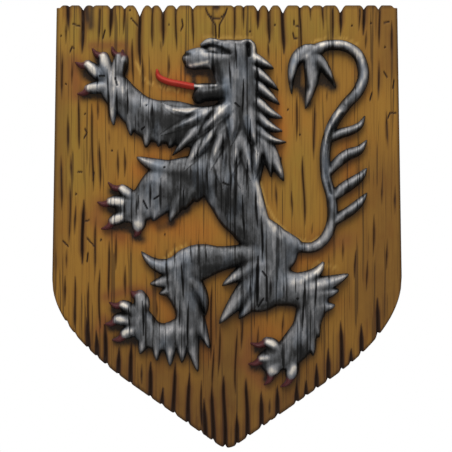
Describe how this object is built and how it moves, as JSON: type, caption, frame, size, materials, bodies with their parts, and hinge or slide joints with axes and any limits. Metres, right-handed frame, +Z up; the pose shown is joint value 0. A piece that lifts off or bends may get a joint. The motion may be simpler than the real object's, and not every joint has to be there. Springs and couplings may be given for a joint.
{
  "type": "heater shield wall plaque",
  "caption": "Heater shield cast as a wall plaque: rough upright boards with notched ends and a lion rampant in high relief on a flat back.",
  "frame": {"origin": "centre of the flat back face, at mid height and mid width, where the wall holds the plaque", "axes": "+X to the viewer's right, +Y from the front into the wall, +Z up along the shield"},
  "size_m": [0.474, 0.0402, 0.6],
  "materials": {
    "painted_resin": "cast resin painted as ochre boards with a dark brown wash, the lion in dry-brushed pewter grey with a satin sheen, red tongue and dark red claws"
  },
  "bodies": {
    "root": {"shield": "painted_resin"}
  },
  "joints": []
}
